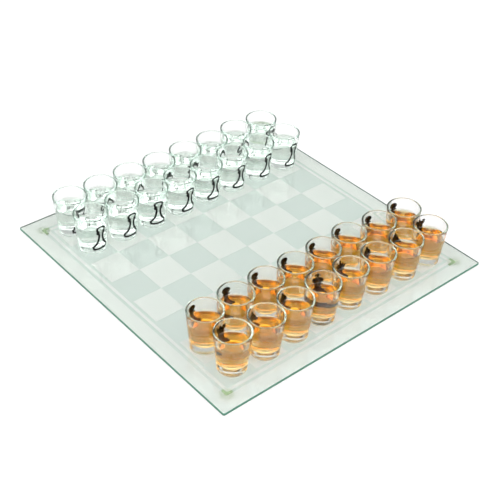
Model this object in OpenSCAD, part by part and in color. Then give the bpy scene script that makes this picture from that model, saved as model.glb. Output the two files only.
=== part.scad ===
/* [Board] */
// Side of the square sheet of glass
board_side = 350; // [330:1:380]
// Thickness of the sheet
board_t = 3; // [3:0.5:5]
// Radius of the sheet's corners
board_corner_r = 2; // [1:0.5:8]
// Width of one playing square
square_w = 38; // [37.6:0.1:39]

/* [Frosted print] */
// Thickness of the frosted coat under the sheet
frost_t = 0.1; // [0.1:0.05:0.2]
// Half of the hairline left clear between two frosted squares that meet at a corner
tile_gap = 0.05; // [0.05:0.05:0.2]
// How far the print of the outermost squares stops short of the full grid
trim_w = 3.8; // [2:0.1:6]
// Width of each clear line round the grid
line_w = 3.2; // [2:0.1:4]
// Width of the frosted strip between the two clear lines
strip_w = 3.3; // [2:0.1:4]
// Radius of the corners of the lines
line_corner_r = 2; // [1:0.5:3]

/* [Feet] */
// Diameter of one bumper foot
foot_d = 13; // [10:0.5:16]
// Height of one bumper foot
foot_h = 2.9; // [2:0.1:4]
// Distance from the sheet's edge to the middle of a foot
foot_inset = 19; // [12:0.5:22]
// Radius of the dome's edge on a foot
foot_edge_r = 1.2; // [0.6:0.1:1.5]

/* [Glasses] */
// Height of one glass
glass_h = 45; // [40:0.5:50]
// Outer diameter at the rim
rim_d = 37; // [34:0.5:37.2]
// Outer diameter at the foot of the glass
base_d = 29; // [26:0.5:31]
// Wall thickness at the rim
rim_wall = 1.8; // [1.4:0.1:2.4]
// Wall thickness at the floor of the bowl
low_wall = 2.3; // [2:0.1:3]
// Thickness of the solid base
base_t = 8; // [6:0.5:10]
// Radius between the wall and the floor of the bowl
bowl_r = 4; // [2:0.5:6]
// Radius of the outer edge of the base
heel_r = 1.5; // [0.5:0.25:2]
// Depth of the hollow pressed into the underside of the base
punt_depth = 0.6; // [0.3:0.1:1]
// Radius of that hollow at the underside
punt_r = 10; // [8:0.5:11]

/* [Hidden] */
$fn = 96;

// Colours
clear_glass = [0.82, 0.90, 0.86, 0.45];
frosted_white = [0.93, 0.95, 0.93];
bumper_clear = [0.80, 0.85, 0.76, 0.8];

// The grid has eight squares a side, and half of them are frosted
squares = 8;
grid_mid = (squares - 1) / 2;

// Heights of the layers, with the floor at zero
frost_z = foot_h;
board_z = frost_z + frost_t;
play_z = board_z + board_t;

// Half widths of the bands of the print, from the squares outwards
tiles_half = squares * square_w / 2 - trim_w;
strip_in = tiles_half + line_w;
strip_out = strip_in + strip_w;
border_in = strip_out + line_w;

// Places of the feet
foot_place = board_side / 2 - foot_inset;

// Ranks, counted from the middle of the board in squares
white_back = 3.5;
white_pawns = 2.5;
black_pawns = -2.5;
black_back = -3.5;

// How far each glass stands from the middle of its square, along X and Y,
// in the order of the h file to the a file: a set by hand is never exact
white_back_shift = [[1.5, 4], [1, 2.5], [2, 3.5], [2.5, 2], [2, 3], [2.5, 2.5], [2, 4.5], [2, 3]];
white_pawn_shift = [[2, 3.5], [2.5, 2.5], [3, 2.5], [3, 2], [2.5, 3], [2, 3], [2.5, 2.5], [3.5, 1.5]];
black_pawn_shift = [[0, 0], [-0.5, 0.5], [-0.5, 0.5], [-0.5, 0.5], [0, 1], [0, 3], [2, -1], [2, -1]];
black_back_shift = [[1.5, -0.5], [1.5, -3], [1, -2], [0.5, 0], [0, 0], [0.5, -0.5], [1.5, -2], [1, -1]];

// The glass's radii: its wall is straight between the foot and the rim
rim_r = rim_d / 2;
foot_r = base_d / 2;
rim_in_r = rim_r - rim_wall;
lip_r = rim_wall / 2;
bowl_in_r = foot_r + (rim_r - foot_r) * base_t / glass_h - low_wall;
punt_sphere_r = (punt_r * punt_r + punt_depth * punt_depth) / (2 * punt_depth);
arc_steps = 8;

function arc(cx, cy, r, from, to) =
    [for (i = [0 : arc_steps]) [cx + r * cos(from + (to - from) * i / arc_steps),
                                cy + r * sin(from + (to - from) * i / arc_steps)]];

// A square slab with round corners, centred on the origin
module slab(side, corner_r, height) {
    linear_extrude(height)
        union() {
            square([side, side - 2 * corner_r], center = true);
            square([side - 2 * corner_r, side], center = true);
            for (x = [-1, 1])
                for (y = [-1, 1])
                    translate([x * (side / 2 - corner_r), y * (side / 2 - corner_r)])
                        circle(corner_r);
        }
}

// A flat band of the print between two square outlines
module band(outer_half, outer_r, inner_half, inner_r) {
    translate([0, 0, frost_z])
        difference() {
            slab(2 * outer_half, outer_r, frost_t);
            translate([0, 0, -frost_t])
                slab(2 * inner_half, inner_r, 3 * frost_t);
        }
}

module board_glass() {
    color(clear_glass)
        translate([0, 0, board_z])
            slab(board_side, board_corner_r, board_t);
}

// The frosted squares start at the white side's h file, and the outermost ones are trimmed
module frosted_squares() {
    color(frosted_white)
        for (file = [0 : squares - 1])
            for (rank = [0 : squares - 1])
                if ((file + rank) % 2 == 0)
                    frosted_square(file, grid_mid - rank);
}

module frosted_square(file, rank_place) {
    x = (file - grid_mid) * square_w;
    y = rank_place * square_w;
    half = square_w / 2 - tile_gap;
    x_low = max(x - half, -tiles_half);
    x_high = min(x + half, tiles_half);
    y_low = max(y - half, -tiles_half);
    y_high = min(y + half, tiles_half);
    translate([x_low, y_low, frost_z])
        cube([x_high - x_low, y_high - y_low, frost_t]);
}

module frosted_strip() {
    color(frosted_white)
        band(strip_out, line_corner_r, strip_in, line_corner_r);
}

module frosted_border() {
    color(frosted_white)
        band(board_side / 2, board_corner_r, border_in, line_corner_r);
}

// A bumper foot is a short disc whose lower edge is round
module foot(x, y) {
    color(bumper_clear)
        translate([x * foot_place, y * foot_place, 0])
            rotate_extrude()
                polygon(concat([[0, 0]],
                    arc(foot_d / 2 - foot_edge_r, foot_edge_r, foot_edge_r, -90, 0),
                    [[foot_d / 2, foot_h], [0, foot_h]]));
}

module foot_near_left() foot(-1, -1);
module foot_near_right() foot(1, -1);
module foot_far_left() foot(-1, 1);
module foot_far_right() foot(1, 1);

// One glass: straight outer wall, round lip, bowl with a round corner, thick base
module glass(file, rank_place, shift) {
    color(clear_glass)
        translate([(file - grid_mid) * square_w + shift[0], rank_place * square_w + shift[1], play_z])
            difference() {
                rotate_extrude()
                    polygon(concat([[0, 0]],
                        arc(foot_r - heel_r, heel_r, heel_r, -90, 0),
                        arc(rim_r - lip_r, glass_h - lip_r, lip_r, 0, 180),
                        arc(bowl_in_r - bowl_r, base_t + bowl_r, bowl_r, 0, -90),
                        [[0, base_t]]));
                translate([0, 0, punt_depth - punt_sphere_r])
                    sphere(punt_sphere_r);
            }
}

module white_rook_h() glass(0, white_back, white_back_shift[0]);
module white_knight_g() glass(1, white_back, white_back_shift[1]);
module white_bishop_f() glass(2, white_back, white_back_shift[2]);
module white_king_e() glass(3, white_back, white_back_shift[3]);
module white_queen_d() glass(4, white_back, white_back_shift[4]);
module white_bishop_c() glass(5, white_back, white_back_shift[5]);
module white_knight_b() glass(6, white_back, white_back_shift[6]);
module white_rook_a() glass(7, white_back, white_back_shift[7]);
module white_pawn_h() glass(0, white_pawns, white_pawn_shift[0]);
module white_pawn_g() glass(1, white_pawns, white_pawn_shift[1]);
module white_pawn_f() glass(2, white_pawns, white_pawn_shift[2]);
module white_pawn_e() glass(3, white_pawns, white_pawn_shift[3]);
module white_pawn_d() glass(4, white_pawns, white_pawn_shift[4]);
module white_pawn_c() glass(5, white_pawns, white_pawn_shift[5]);
module white_pawn_b() glass(6, white_pawns, white_pawn_shift[6]);
module white_pawn_a() glass(7, white_pawns, white_pawn_shift[7]);
module black_rook_h() glass(0, black_back, black_back_shift[0]);
module black_knight_g() glass(1, black_back, black_back_shift[1]);
module black_bishop_f() glass(2, black_back, black_back_shift[2]);
module black_king_e() glass(3, black_back, black_back_shift[3]);
module black_queen_d() glass(4, black_back, black_back_shift[4]);
module black_bishop_c() glass(5, black_back, black_back_shift[5]);
module black_knight_b() glass(6, black_back, black_back_shift[6]);
module black_rook_a() glass(7, black_back, black_back_shift[7]);
module black_pawn_h() glass(0, black_pawns, black_pawn_shift[0]);
module black_pawn_g() glass(1, black_pawns, black_pawn_shift[1]);
module black_pawn_f() glass(2, black_pawns, black_pawn_shift[2]);
module black_pawn_e() glass(3, black_pawns, black_pawn_shift[3]);
module black_pawn_d() glass(4, black_pawns, black_pawn_shift[4]);
module black_pawn_c() glass(5, black_pawns, black_pawn_shift[5]);
module black_pawn_b() glass(6, black_pawns, black_pawn_shift[6]);
module black_pawn_a() glass(7, black_pawns, black_pawn_shift[7]);

board_glass();
frosted_squares();
frosted_strip();
frosted_border();
foot_near_left();
foot_near_right();
foot_far_left();
foot_far_right();
white_rook_h();
white_knight_g();
white_bishop_f();
white_king_e();
white_queen_d();
white_bishop_c();
white_knight_b();
white_rook_a();
white_pawn_h();
white_pawn_g();
white_pawn_f();
white_pawn_e();
white_pawn_d();
white_pawn_c();
white_pawn_b();
white_pawn_a();
black_rook_h();
black_knight_g();
black_bishop_f();
black_king_e();
black_queen_d();
black_bishop_c();
black_knight_b();
black_rook_a();
black_pawn_h();
black_pawn_g();
black_pawn_f();
black_pawn_e();
black_pawn_d();
black_pawn_c();
black_pawn_b();
black_pawn_a();
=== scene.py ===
"""Glass chess board with shot glasses for pieces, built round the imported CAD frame."""

import math

import bmesh
import bpy
from mathutils import Matrix, Vector
from mathutils.geometry import delaunay_2d_cdt


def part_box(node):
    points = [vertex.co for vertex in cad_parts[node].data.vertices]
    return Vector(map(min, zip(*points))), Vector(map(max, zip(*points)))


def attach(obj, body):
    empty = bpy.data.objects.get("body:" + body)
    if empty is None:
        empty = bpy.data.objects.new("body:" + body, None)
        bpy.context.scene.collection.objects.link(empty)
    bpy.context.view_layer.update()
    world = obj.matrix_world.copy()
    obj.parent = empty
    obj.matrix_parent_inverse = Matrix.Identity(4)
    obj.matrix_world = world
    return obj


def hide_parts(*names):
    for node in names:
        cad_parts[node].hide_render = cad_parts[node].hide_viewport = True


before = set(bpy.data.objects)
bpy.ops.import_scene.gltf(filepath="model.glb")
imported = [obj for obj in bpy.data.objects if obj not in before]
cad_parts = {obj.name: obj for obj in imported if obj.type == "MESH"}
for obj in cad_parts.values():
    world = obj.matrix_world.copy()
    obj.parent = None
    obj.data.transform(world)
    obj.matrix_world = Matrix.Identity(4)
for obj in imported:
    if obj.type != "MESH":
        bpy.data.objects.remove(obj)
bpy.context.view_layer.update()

MM = 0.001

# ---------------------------------------------------------------- sizes

BOARD_LOW, BOARD_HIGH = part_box("board_glass")
FOOT_NODES = ["foot_near_left", "foot_near_right", "foot_far_left", "foot_far_right"]
PRINT_NODES = ["frosted_squares", "frosted_strip", "frosted_border"]
GLASS_NODES = sorted(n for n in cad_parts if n.startswith(("white_", "black_")))

SQUARE_W = 38.0 * MM
BOARD_CORNER_R = 2.0 * MM
BOARD_BEVEL = 0.45 * MM
# The sheet stops a hair short of the print and of the glasses, and a foot stops a hair short of the
# print, so that no two faces share a plane
HAIR = 0.02 * MM

FOOT_EDGE_R = 1.2 * MM
FOOT_DIMPLE = 0.25 * MM
# The dimple's radius as a share of the foot's
FOOT_DIMPLE_SHARE = 0.45

GLASS_LOW, GLASS_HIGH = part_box("white_rook_h")
GLASS_H = GLASS_HIGH.z - GLASS_LOW.z
RIM_R = (GLASS_HIGH.x - GLASS_LOW.x) / 2
BASE_R = 14.5 * MM
LIP_R = 0.9 * MM
LOW_WALL = 2.3 * MM
BASE_T = 8.0 * MM
BOWL_R = 4.0 * MM
HEEL_R = 1.5 * MM
PUNT_R = 10.0 * MM
PUNT_DEPTH = 0.6 * MM
BOWL_IN_R = BASE_R + (RIM_R - BASE_R) * BASE_T / GLASS_H - LOW_WALL
RIM_IN_R = RIM_R - 2 * LIP_R

DRINK_LEVEL = 31.0 * MM
DRINK_OVERLAP = 0.05 * MM
MENISCUS_H = 1.1 * MM
MENISCUS_W = 1.3 * MM

LATHE_STEPS = 96

# The share of the light that each face of the frosted print lets through
FROST_THROUGH = 0.75


# ---------------------------------------------------------------- mesh helpers


def add_object(name, verts, faces, materials, smooth_angle=30.0):
    """A mesh object from points and faces, smooth except across edges sharper than smooth_angle."""
    mesh = bpy.data.meshes.new(name)
    mesh.from_pydata(verts, [], faces)
    bm = bmesh.new()
    bm.from_mesh(mesh)
    bmesh.ops.recalc_face_normals(bm, faces=bm.faces)
    bm.to_mesh(mesh)
    bm.free()
    for material in materials:
        mesh.materials.append(material)
    mesh.shade_smooth()
    mesh.set_sharp_from_angle(angle=math.radians(smooth_angle))
    return link(name, mesh)


def link(name, mesh, place=(0, 0, 0), turn=0.0):
    """An object of a mesh, put at a place and turned about its own upright axis."""
    obj = bpy.data.objects.new(name, mesh)
    bpy.context.scene.collection.objects.link(obj)
    obj.matrix_world = Matrix.Translation(place) @ Matrix.Rotation(turn, 4, "Z")
    return obj


def arc(cx, cy, r, start, end, steps):
    """Points along a circle's arc, with the angles in degrees."""
    angles = [math.radians(start + (end - start) * i / steps) for i in range(steps + 1)]
    return [(cx + r * math.cos(a), cy + r * math.sin(a)) for a in angles]


def line(a, b, steps):
    """Points between a and b, without the two ends."""
    return [(a[0] + (b[0] - a[0]) * i / steps, a[1] + (b[1] - a[1]) * i / steps) for i in range(1, steps)]


def lathe(profile, steps=LATHE_STEPS):
    """Points and faces of a profile of (radius, height) turned about Z; its ends lie on the axis."""
    verts, faces, rings = [], [], []
    for r, z in profile:
        if r < 1e-9:
            rings.append([len(verts)])
            verts.append((0, 0, z))
            continue
        rings.append(list(range(len(verts), len(verts) + steps)))
        for k in range(steps):
            a = 2 * math.pi * k / steps
            verts.append((r * math.cos(a), r * math.sin(a), z))
    for low, high in zip(rings, rings[1:]):
        for k in range(steps):
            n = (k + 1) % steps
            if len(low) == 1:
                faces.append((low[0], high[n], high[k]))
            elif len(high) == 1:
                faces.append((low[k], low[n], high[0]))
            else:
                faces.append((low[k], low[n], high[n], high[k]))
    return verts, faces


def square_outline(half, corner_r, steps=8):
    """The outline of a square with round corners, anticlockwise."""
    points = []
    for k, (sx, sy) in enumerate([(1, 1), (-1, 1), (-1, -1), (1, -1)]):
        c = half - corner_r
        points += arc(sx * c, sy * c, corner_r, 90 * k, 90 * k + 90, steps)
    return points


# ---------------------------------------------------------------- materials

SHEET_TINT = (0.17, 0.43, 0.29)
SHEET_DENSITY = 125.0


class Nodes:
    """A short way to write a node tree."""

    def __init__(self, name):
        self.material = bpy.data.materials.new(name)
        self.material.use_nodes = True
        self.tree = self.material.node_tree
        self.tree.nodes.clear()
        self.out = self.add("ShaderNodeOutputMaterial")

    def add(self, kind, **values):
        """A new node, with settings and input values given by name."""
        node = self.tree.nodes.new(kind)
        for key, value in values.items():
            if hasattr(node, key):
                setattr(node, key, value)
            else:
                node.inputs[key.replace("_", " ")].default_value = value
        return node

    def join(self, source, out, target, into):
        """A link from one node's output to another's input."""
        self.tree.links.new(source.outputs[out], target.inputs[into])

    def noise(self, scale, detail=3.0, roughness=0.5):
        """Noise that stays with the object."""
        where = self.add("ShaderNodeTexCoord")
        tex = self.add("ShaderNodeTexNoise", Scale=scale, Detail=detail, Roughness=roughness)
        self.join(where, "Object", tex, "Vector")
        return tex

    def bump(self, source, out, strength, distance):
        """A bump of the height that an output gives."""
        bump = self.add("ShaderNodeBump", Strength=strength, Distance=distance)
        self.join(source, out, bump, "Height")
        return bump

    def mottle(self, noise, one_colour, other_colour):
        """Two colours mixed by a noise."""
        mix = self.add("ShaderNodeMix", data_type="RGBA")
        mix.inputs[6].default_value = one_colour
        mix.inputs[7].default_value = other_colour
        self.join(noise, "Fac", mix, 0)
        return mix

    def absorb(self, tint, density):
        """The colour that a clear body has in its depth."""
        depth = self.add("ShaderNodeVolumeAbsorption", Density=density)
        depth.inputs["Color"].default_value = (*tint, 1)
        self.join(depth, "Volume", self.out, "Volume")

    def ramp(self, source, out, low, high, low_value, high_value):
        """A value spread from one range to another."""
        spread = self.add("ShaderNodeMapRange")
        spread.inputs["From Min"].default_value = low
        spread.inputs["From Max"].default_value = high
        spread.inputs["To Min"].default_value = low_value
        spread.inputs["To Max"].default_value = high_value
        self.join(source, out, spread, "Value")
        return spread


def clear_material(name, ior, wave_scale, wave_height, tint, density, smear=0.0):
    """A clear body: polished, faintly wavy, with its colour in its depth and smears on its surface."""
    n = Nodes(name)
    surface = n.add("ShaderNodeBsdfPrincipled", IOR=ior)
    surface.inputs["Base Color"].default_value = (1, 1, 1, 1)
    surface.inputs["Transmission Weight"].default_value = 1.0
    surface.inputs["Roughness"].default_value = 0.0
    waves = n.noise(wave_scale, detail=1.0)
    bump = n.bump(waves, "Fac", 1.0, wave_height)
    n.join(bump, "Normal", surface, "Normal")
    if smear:
        smudge = n.noise(wave_scale * 2.5, detail=4.0)
        spread = n.ramp(smudge, "Fac", 0.45, 0.75, 0.0, smear)
        n.join(spread, "Result", surface, "Roughness")
    n.join(surface, "BSDF", n.out, "Surface")
    n.absorb(tint, density)
    return n.material


def frosted_material(name):
    """Frosted print: a fine-grained coat that scatters light both back and through."""
    n = Nodes(name)
    grain = n.noise(900.0, detail=2.0)
    cloud = n.noise(14.0, detail=3.0)
    mix = n.mottle(cloud, (0.96, 0.92, 0.93, 1), (0.99, 0.95, 0.96, 1))
    bump = n.bump(grain, "Fac", 0.3, 0.05 * MM)
    back = n.add("ShaderNodeBsdfDiffuse", Roughness=0.5)
    through = n.add("ShaderNodeBsdfTranslucent")
    for shader in (back, through):
        n.tree.links.new(mix.outputs[2], shader.inputs["Color"])
        n.join(bump, "Normal", shader, "Normal")
    both = n.add("ShaderNodeMixShader")
    both.inputs[0].default_value = FROST_THROUGH
    n.tree.links.new(back.outputs[0], both.inputs[1])
    n.tree.links.new(through.outputs[0], both.inputs[2])
    n.join(both, "Shader", n.out, "Surface")
    return n.material


def edge_material():
    """The sheet's ground edge: satin and deep green, with the light of the sheet behind it."""
    n = Nodes("sheet_ground_edge")
    surface = n.add("ShaderNodeBsdfPrincipled", IOR=1.5)
    grind = n.noise(300.0, detail=3.0)
    mix = n.mottle(grind, (0.015, 0.09, 0.055, 1), (0.05, 0.20, 0.13, 1))
    n.tree.links.new(mix.outputs[2], surface.inputs["Base Color"])
    surface.inputs["Transmission Weight"].default_value = 0.25
    surface.inputs["Roughness"].default_value = 0.3
    bump = n.bump(grind, "Fac", 0.4, 0.05 * MM)
    n.join(bump, "Normal", surface, "Normal")
    n.join(surface, "BSDF", n.out, "Surface")
    n.absorb(SHEET_TINT, SHEET_DENSITY)
    return n.material


def bumper_material():
    """Soft clear plastic, yellow-green with age."""
    n = Nodes("bumper_plastic")
    surface = n.add("ShaderNodeBsdfPrincipled", IOR=1.45)
    cloud = n.noise(180.0, detail=3.0)
    mix = n.mottle(cloud, (0.36, 0.42, 0.26, 1), (0.46, 0.52, 0.33, 1))
    n.tree.links.new(mix.outputs[2], surface.inputs["Base Color"])
    surface.inputs["Roughness"].default_value = 0.6
    surface.inputs["Transmission Weight"].default_value = 0.15
    bump = n.bump(cloud, "Fac", 0.3, 0.1 * MM)
    n.join(bump, "Normal", surface, "Normal")
    n.join(surface, "BSDF", n.out, "Surface")
    return n.material


def enamel_material():
    """Black enamel, printed and fired on: satin, with a fine orange peel."""
    n = Nodes("black_enamel")
    surface = n.add("ShaderNodeBsdfPrincipled", IOR=1.5)
    peel = n.noise(1500.0, detail=2.0)
    mix = n.mottle(peel, (0.001, 0.001, 0.001, 1), (0.004, 0.004, 0.004, 1))
    n.tree.links.new(mix.outputs[2], surface.inputs["Base Color"])
    surface.inputs["Roughness"].default_value = 0.5
    surface.inputs["Specular IOR Level"].default_value = 0.05
    bump = n.bump(peel, "Fac", 0.25, 0.03 * MM)
    n.join(bump, "Normal", surface, "Normal")
    n.join(surface, "BSDF", n.out, "Surface")
    return n.material


sheet_glass = clear_material("sheet_glass", 1.5, 6.0, 0.02 * MM, SHEET_TINT, SHEET_DENSITY, 0.02)
sheet_edge = edge_material()
moulded_glass = clear_material("moulded_glass", 1.5, 55.0, 0.03 * MM, (0.82, 0.92, 0.87), 22.0, 0.015)
amber_drink = clear_material("amber_drink", 1.35, 40.0, 0.004 * MM, (0.88, 0.665, 0.02), 130.0)
clear_drink = clear_material("clear_drink", 1.34, 40.0, 0.004 * MM, (0.80, 0.84, 0.81), 40.0)
frosted = frosted_material("frosted_print")
bumper = bumper_material()
enamel = enamel_material()


# ---------------------------------------------------------------- board, print and feet


def slab_mesh(half, corner_r, low, high, bevel):
    """Points and faces of a square slab with round corners and a bevel round both faces.

    The first two faces are the underside and the top; the rest are the bevels and the edge.
    """
    levels = [(bevel, low), (0.0, low + bevel), (0.0, high - bevel), (bevel, high)]
    verts, faces, rings = [], [], []
    for inset, z in levels:
        ring = square_outline(half - inset, corner_r - inset)
        rings.append(list(range(len(verts), len(verts) + len(ring))))
        verts += [(x, y, z) for x, y in ring]
    faces.append(tuple(reversed(rings[0])))
    faces.append(tuple(rings[-1]))
    for a, b in zip(rings, rings[1:]):
        for k in range(len(a)):
            n = (k + 1) % len(a)
            faces.append((a[k], a[n], b[n], b[k]))
    return verts, faces


def make_board():
    """The clear sheet, with a ground edge of its own material."""
    half = (BOARD_HIGH.x - BOARD_LOW.x) / 2
    verts, faces = slab_mesh(half, BOARD_CORNER_R, BOARD_LOW.z + HAIR, BOARD_HIGH.z - HAIR, BOARD_BEVEL)
    board = add_object("board_sheet", verts, faces, [sheet_glass, sheet_edge], 20.0)
    for polygon in board.data.polygons[2:]:
        polygon.material_index = 1
    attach(board, "board")
    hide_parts("board_glass")


def frost(node):
    """The print's exact CAD body serves as it is, with the frosted material."""
    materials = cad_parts[node].data.materials
    materials.clear()
    materials.append(frosted)


def make_foot(node):
    """A bumper: flat where it is stuck on, a domed edge, and a shallow dimple from its mould."""
    low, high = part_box(node)
    r = (high.x - low.x) / 2
    h = high.z - low.z - HAIR
    dimple_r = FOOT_DIMPLE_SHARE * r
    profile = [(dimple_r * i / 5, FOOT_DIMPLE * (1 - (i / 5) ** 2)) for i in range(6)]
    profile += arc(r - FOOT_EDGE_R, FOOT_EDGE_R, FOOT_EDGE_R, -90, 0, 8)
    profile += line((r, FOOT_EDGE_R), (r, h), 2) + [(r, h), (0, h)]
    verts, faces = lathe(profile, 64)
    foot = add_object("bumper_" + node.removeprefix("foot_"), verts, faces, [bumper])
    foot.matrix_world = Matrix.Translation(((low.x + high.x) / 2, (low.y + high.y) / 2, low.z))
    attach(foot, "board")
    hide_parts(node)


make_board()
for print_node in PRINT_NODES:
    frost(print_node)
for foot_node in FOOT_NODES:
    make_foot(foot_node)


# ---------------------------------------------------------------- glasses and drinks


def glass_profile():
    """From the middle of the underside, up the outside, over the lip and down into the bowl."""
    steps = 6
    points = [(PUNT_R * i / steps, PUNT_DEPTH * (1 - (i / steps) ** 2)) for i in range(steps + 1)]
    points += arc(BASE_R - HEEL_R, HEEL_R, HEEL_R, -90, 0, 8)
    wall_top = (RIM_R, GLASS_H - LIP_R)
    points += line((BASE_R, HEEL_R), wall_top, 12)
    points += arc(RIM_R - LIP_R, GLASS_H - LIP_R, LIP_R, 0, 180, 12)
    corner = arc(BOWL_IN_R - BOWL_R, BASE_T + BOWL_R, BOWL_R, 0, -90, 10)
    points += line((RIM_IN_R, GLASS_H - LIP_R), corner[0], 12)
    points += corner
    points += line(corner[-1], (0, BASE_T), 4)
    return points + [(0, BASE_T)]


def bowl_radius(z):
    """The inside radius of the bowl's straight wall at a height."""
    low_z, high_z = BASE_T + BOWL_R, GLASS_H - LIP_R
    return BOWL_IN_R + (RIM_IN_R - BOWL_IN_R) * (z - low_z) / (high_z - low_z)


def drink_profile():
    """The drink fills the bowl to its level and climbs the wall a little."""
    o = DRINK_OVERLAP
    corner = arc(BOWL_IN_R - BOWL_R, BASE_T + BOWL_R, BOWL_R + o, -90, 0, 10)
    top_z = DRINK_LEVEL + MENISCUS_H
    top_r = bowl_radius(top_z) + o
    points = [(0, BASE_T - o)] + line((0, BASE_T - o), corner[0], 4) + corner
    points += line(corner[-1], (top_r, top_z), 10) + [(top_r, top_z)]
    rings = 12
    for i in range(1, rings):
        d = (i / rings) ** 2 * top_r
        points.append((top_r - d, DRINK_LEVEL + MENISCUS_H * math.exp(-d / MENISCUS_W)))
    return points + [(0, DRINK_LEVEL)]


def only_mesh(name, verts, faces, material, smooth_angle):
    """One mesh for many like pieces, without an object of its own."""
    pattern = add_object(name, verts, faces, [material], smooth_angle)
    mesh = pattern.data
    bpy.data.objects.remove(pattern)
    return mesh


glass_mesh = only_mesh("shot_glass", *lathe(glass_profile()), moulded_glass, 40.0)
amber_mesh = only_mesh("amber_drink", *lathe(drink_profile()), amber_drink, 60.0)
clear_mesh = only_mesh("clear_drink", *lathe(drink_profile()), clear_drink, 60.0)


# ---------------------------------------------------------------- printed icons

# Each icon is drawn in millimetres on the unrolled wall, with its foot at height 0.
# A symmetric icon gives its right-hand outline from the top middle to the bottom middle.
# A point marked True is a corner; the outline runs smoothly through the others.
PAWN = [
    (0, 29, False), (3.4, 28.2, False), (4.6, 26.0, False), (3.7, 23.8, False), (2.3, 22.6, True),
    (4.1, 21.9, True), (3.9, 20.6, True), (2.2, 20.2, True), (2.2, 15.5, False), (3.3, 10.5, False),
    (5.4, 6.4, False), (8.3, 3.4, True), (8.0, 1.6, False), (7.2, 0.0, True), (0, 0, True),
]
ROOK = [
    (0, 29, True), (1.3, 29, True), (1.3, 27.2, True), (3.0, 27.2, True), (3.0, 29, True),
    (5.8, 29, True), (5.5, 25.2, True), (3.9, 23.4, True), (3.4, 17.0, False), (3.9, 10.5, False),
    (5.0, 7.4, True), (6.6, 6.4, True), (6.4, 5.0, True), (8.4, 3.2, True), (7.8, 0.0, True), (0, 0, True),
]
BISHOP = [
    (0, 30, False), (1.3, 29.3, False), (1.2, 28.0, True), (3.4, 25.6, False), (4.7, 22.2, False),
    (3.8, 19.0, False), (2.6, 17.6, True), (4.4, 17.0, True), (4.2, 15.6, True), (2.5, 15.1, True),
    (2.9, 10.6, False), (4.7, 6.9, True), (6.4, 6.1, True), (6.2, 4.8, True), (8.4, 3.2, True),
    (7.8, 0.0, True), (0, 0, True),
]
QUEEN = [
    (0, 30, False), (1.2, 29.2, False), (0.7, 28.0, True), (1.6, 25.2, True), (3.4, 28.0, True),
    (3.6, 24.6, True), (6.4, 26.0, True), (4.6, 21.6, False), (3.4, 18.6, True), (4.8, 17.8, True),
    (4.6, 16.4, True), (2.7, 15.8, True), (3.0, 10.8, False), (4.8, 7.2, True), (6.6, 6.2, True),
    (6.4, 4.9, True), (8.5, 3.2, True), (7.9, 0.0, True), (0, 0, True),
]
KING = [
    (0, 31, True), (0.9, 31, True), (0.9, 29.4, True), (2.6, 29.4, True), (2.6, 27.6, True),
    (0.9, 27.6, True), (0.9, 26.2, True), (4.4, 25.4, True), (5.8, 23.6, True), (4.4, 20.4, False),
    (3.2, 18.2, True), (5.0, 17.4, True), (4.8, 16.0, True), (2.9, 15.4, True), (3.2, 10.8, False),
    (5.0, 7.2, True), (6.8, 6.2, True), (6.6, 4.9, True), (8.6, 3.2, True), (8.0, 0.0, True), (0, 0, True),
]
# The knight is drawn all the way round, clockwise from the tip of its ear.
KNIGHT = [
    (-0.6, 29.5, True), (1.6, 27.0, False), (4.0, 24.6, False), (5.8, 20.4, False), (6.0, 15.4, False),
    (5.2, 10.2, False), (5.8, 6.8, True), (7.0, 6.0, True), (6.8, 4.8, True), (8.4, 3.2, True),
    (7.8, 0.0, True), (-7.8, 0.0, True), (-8.4, 3.2, True), (-6.8, 4.8, True), (-7.0, 6.0, True),
    (-5.2, 6.8, True), (-4.0, 10.2, False), (-0.8, 13.4, False), (0.2, 16.4, True), (-2.4, 15.8, False),
    (-4.4, 14.4, False), (-6.0, 14.0, False), (-7.2, 15.6, False), (-6.4, 18.4, False), (-4.6, 21.8, False),
    (-3.4, 24.6, False), (-2.4, 26.6, False),
]
ICONS = {"pawn": PAWN, "rook": ROOK, "knight": KNIGHT, "bishop": BISHOP, "queen": QUEEN, "king": KING}
ICON_LOW = {"white": 6.5 * MM, "black": 10.5 * MM}
STROKE_W = 2.2 * MM
# The black side's icons are wider than the outlines by this factor
SOLID_WIDER = 1.15
SOLID_PITCH = 1.1 * MM
PRINT_T = 0.08 * MM
# The print reaches a little into the wall, so that light inside the glass meets it without a gap
PRINT_SINK = 0.04 * MM
SMOOTH_STEPS = 5


def whole_outline(icon):
    """The closed outline of an icon, in millimetres, with the symmetric ones mirrored."""
    if icon is KNIGHT:
        return icon
    left = [(-x, y, corner) for x, y, corner in reversed(icon[1:-1])]
    return icon + left


def smooth_outline(points):
    """A closed outline through the points, by Catmull-Rom spans that stop at the corners."""
    count = len(points)
    result = []
    for i in range(count):
        p1, p2 = points[i], points[(i + 1) % count]
        p0 = p1 if p1[2] else points[i - 1]
        p3 = p2 if p2[2] else points[(i + 2) % count]
        straight = p1[2] and p2[2]
        steps = max(1, round(math.dist(p1[:2], p2[:2]) / 1.2)) if straight else SMOOTH_STEPS
        for k in range(steps):
            t = k / steps
            point = []
            for a, b, c, d in zip(p0[:2], p1[:2], p2[:2], p3[:2]):
                spline = 2 * b + (c - a) * t
                spline += (2 * a - 5 * b + 4 * c - d) * t**2
                spline += (3 * b - a - 3 * c + d) * t**3
                point.append((b + (c - b) * t) if straight else spline / 2)
            result.append(tuple(point))
    return result


def wall_point(x, z, lift, facing):
    """A point of the unrolled wall, in metres, put on the glass's outer wall and lifted off it."""
    r = BASE_R + (RIM_R - BASE_R) * (z - HEEL_R) / (GLASS_H - LIP_R - HEEL_R)
    angle = facing + x / r
    return ((r + lift) * math.cos(angle), (r + lift) * math.sin(angle), z)


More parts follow.
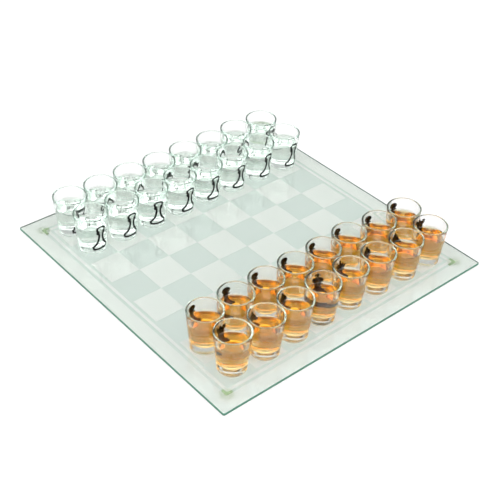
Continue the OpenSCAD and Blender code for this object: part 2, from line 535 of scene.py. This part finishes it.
def inside(point, outline):
    """Whether a point lies inside a closed outline."""
    x, y = point
    found = False
    for (x1, y1), (x2, y2) in zip(outline, outline[1:] + outline[:1]):
        if (y1 > y) != (y2 > y) and x < x1 + (y - y1) / (y2 - y1) * (x2 - x1):
            found = not found
    return found


def solid_icon(icon, low, facing):
    """A filled silhouette, as a thin closed skin on the wall."""
    outline = [(x * SOLID_WIDER * MM, y * MM) for x, y in smooth_outline(whole_outline(icon))]
    grid = [(i * SOLID_PITCH, j * SOLID_PITCH) for i in range(-9, 10) for j in range(30)]
    grid = [p for p in grid if inside(p, outline)]
    grid = [p for p in grid if min(math.dist(p, q) for q in outline) > 0.45 * MM]
    coords = [Vector(p) for p in outline + grid]
    border = list(range(len(outline)))
    flat, _, triangles, _, _, _ = delaunay_2d_cdt(coords, [], [border], 1, 1e-7)
    count = len(flat)
    verts = [wall_point(p.x, low + p.y, -PRINT_SINK, facing) for p in flat]
    verts += [wall_point(p.x, low + p.y, PRINT_T, facing) for p in flat]
    faces = [tuple(reversed(t)) for t in triangles]
    faces += [tuple(v + count for v in t) for t in triangles]
    uses = {}
    for t in triangles:
        for a, b in zip(t, list(t[1:]) + [t[0]]):
            uses.setdefault(frozenset((a, b)), []).append((a, b))
    for edges in uses.values():
        if len(edges) == 1:
            a, b = edges[0]
            faces.append((a, b, b + count, a + count))
    return verts, faces


def outline_icon(icon, low, facing):
    """A line drawn round the silhouette, as a flat bead on the wall."""
    points = [(x * MM, y * MM) for x, y in smooth_outline(whole_outline(icon))]
    section = [(0.5, -PRINT_SINK), (0.5, 0.55 * PRINT_T), (0.3, PRINT_T)]
    section += [(-s, lift) for s, lift in reversed(section)]
    count, size = len(points), len(section)
    verts, faces = [], []
    for i, (x, y) in enumerate(points):
        before, after = Vector(points[i - 1]), Vector(points[(i + 1) % count])
        d1 = (Vector((x, y)) - before).normalized()
        d2 = (after - Vector((x, y))).normalized()
        along = (d1 + d2).normalized() if (d1 + d2).length > 0.2 else d2
        side = Vector((along.y, -along.x))
        stretch = min(1.35, 1.0 / max(0.5, abs(along.dot(d1))))
        for s, lift in section:
            w = s * STROKE_W * stretch
            verts.append(wall_point(x + side.x * w, low + y + side.y * w, lift, facing))
    for i in range(count):
        n = (i + 1) % count
        for k in range(size):
            m = (k + 1) % size
            faces.append((i * size + k, n * size + k, n * size + m, i * size + m))
    return verts, faces


# How each side draws its icons, and the direction that they face, in degrees
ICON_SIDES = {"white": (outline_icon, -90), "black": (solid_icon, 90)}
icon_meshes = {}
for kind, icon in ICONS.items():
    for side, (maker, facing) in ICON_SIDES.items():
        verts, faces = maker(icon, ICON_LOW[side], math.radians(facing))
        icon_meshes[side, kind] = only_mesh(f"{side}_{kind}_icon", verts, faces, enamel, 50.0)


# ---------------------------------------------------------------- the pieces of the game

# How far each glass stands turned, in degrees anticlockwise from above, from file h to file a
GLASS_TURNS = {
    "white_back": (3, -4, 2, 0, -3, 4, -2, 2),
    "white_pawn": (2, 2, -11, 4, 1, 0, 5, 3),
    "black_pawn": (12, -4, 3, 2, 2, 2, -3, -6),
    "black_back": (4, 14, 5, -26, -7, -3, -6, -10),
}


def make_glass(node):
    """A glass, its drink and its print, which all ride on the same body."""
    low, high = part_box(node)
    place = ((low.x + high.x) / 2, (low.y + high.y) / 2, low.z)
    side, kind, board_file = node.split("_")
    row = "pawn" if kind == "pawn" else "back"
    turn = math.radians(GLASS_TURNS[f"{side}_{row}"]["hgfedcba".index(board_file)])
    glass = link("glass_" + node, glass_mesh, place, turn)
    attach(glass, node)
    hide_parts(node)
    drink = link("drink_" + node, amber_mesh if side == "black" else clear_mesh, place, turn)
    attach(drink, node)
    icon_object = link("print_" + node, icon_meshes[side, kind], place, turn)
    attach(icon_object, node)


for glass_node in GLASS_NODES:
    make_glass(glass_node)


# ---------------------------------------------------------------- floor, light and camera

FLOOR_HALF = 60.0
FLOOR_DROP = 0.2 * MM
FLOOR_LIGHT = 0.74
WALL_LIGHT = 0.55
OVERHEAD_LIGHT = 3.7
SOFTBOX_SIDE = Vector((-0.35, -0.40, 0.85))
# The softbox fades out between these cosines of the angle from its middle
SOFTBOX_EDGE = (0.40, 0.70)

LENS = 73.5
CAMERA_AZIMUTH = math.radians(41.85)
CAMERA_ELEVATION = math.radians(37.63)
CAMERA_ROLL = math.radians(2.45)
# Where the camera stands, in squares, from the middle of the board's top
CAMERA_PLACE = Vector((-15.2, -17.1, 17.46))


def make_floor():
    """A white light table, which throws no hard shadow."""
    mesh = bpy.data.meshes.new("floor")
    corners = [(x * FLOOR_HALF, y * FLOOR_HALF, 0) for x, y in ((-1, -1), (1, -1), (1, 1), (-1, 1))]
    mesh.from_pydata(corners, [], [(0, 1, 2, 3)])
    floor = link("floor", mesh, (0, 0, -FLOOR_DROP))
    n = Nodes("floor_white")
    surface = n.add("ShaderNodeBsdfDiffuse")
    surface.inputs["Color"].default_value = (0.15, 0.15, 0.15, 1)
    glow = n.add("ShaderNodeEmission", Strength=FLOOR_LIGHT)
    both = n.add("ShaderNodeAddShader")
    n.join(surface, "BSDF", both, 0)
    n.join(glow, "Emission", both, 1)
    n.join(both, "Shader", n.out, "Surface")
    mesh.materials.append(n.material)


def make_world():
    """A soft white studio: a broad softbox overhead, towards the near side, and dimmer walls all round."""
    world = bpy.data.worlds.new("studio")
    bpy.context.scene.world = world
    world.use_nodes = True
    tree = world.node_tree
    tree.nodes.clear()
    out = tree.nodes.new("ShaderNodeOutputWorld")
    back = tree.nodes.new("ShaderNodeBackground")
    back.inputs["Color"].default_value = (1, 1, 1, 1)
    where = tree.nodes.new("ShaderNodeTexCoord")
    toward = tree.nodes.new("ShaderNodeVectorMath")
    toward.operation = "DOT_PRODUCT"
    toward.inputs[1].default_value = SOFTBOX_SIDE.normalized()
    fall = tree.nodes.new("ShaderNodeMapRange")
    fall.interpolation_type = "SMOOTHSTEP"
    fall.inputs["From Min"].default_value, fall.inputs["From Max"].default_value = SOFTBOX_EDGE
    fall.inputs["To Min"].default_value = WALL_LIGHT
    fall.inputs["To Max"].default_value = OVERHEAD_LIGHT
    tree.links.new(where.outputs["Generated"], toward.inputs[0])
    tree.links.new(toward.outputs["Value"], fall.inputs["Value"])
    tree.links.new(fall.outputs["Result"], back.inputs["Strength"])
    tree.links.new(back.outputs["Background"], out.inputs["Surface"])


def make_camera():
    """The photograph's viewpoint: looking down the azimuth, with a slight roll."""
    place = CAMERA_PLACE * SQUARE_W + Vector((0, 0, BOARD_HIGH.z))
    forward = Vector((
        math.sin(CAMERA_AZIMUTH) * math.cos(CAMERA_ELEVATION),
        math.cos(CAMERA_AZIMUTH) * math.cos(CAMERA_ELEVATION),
        -math.sin(CAMERA_ELEVATION),
    ))
    level = Vector((math.cos(CAMERA_AZIMUTH), -math.sin(CAMERA_AZIMUTH), 0))
    above = level.cross(forward)
    right = level * math.cos(CAMERA_ROLL) + above * math.sin(CAMERA_ROLL)
    up = right.cross(forward)
    camera_data = bpy.data.cameras.new("camera")
    camera_data.lens = LENS
    camera_data.sensor_width = 36.0
    camera_data.clip_start = 0.01
    camera_data.clip_end = 50.0
    camera = bpy.data.objects.new("camera", camera_data)
    bpy.context.scene.collection.objects.link(camera)
    turn = Matrix((right, up, -forward)).transposed().to_4x4()
    camera.matrix_world = Matrix.Translation(place) @ turn
    bpy.context.scene.camera = camera


make_floor()
make_world()
make_camera()

scene = bpy.context.scene
scene.view_settings.view_transform = "Standard"
scene.cycles.max_bounces = 48
scene.cycles.transmission_bounces = 40
scene.cycles.transparent_max_bounces = 16
scene.cycles.glossy_bounces = 32
scene.cycles.diffuse_bounces = 12
scene.cycles.use_denoising = True
scene.cycles.blur_glossy = 0.0
scene.cycles.sample_clamp_indirect = 6.0
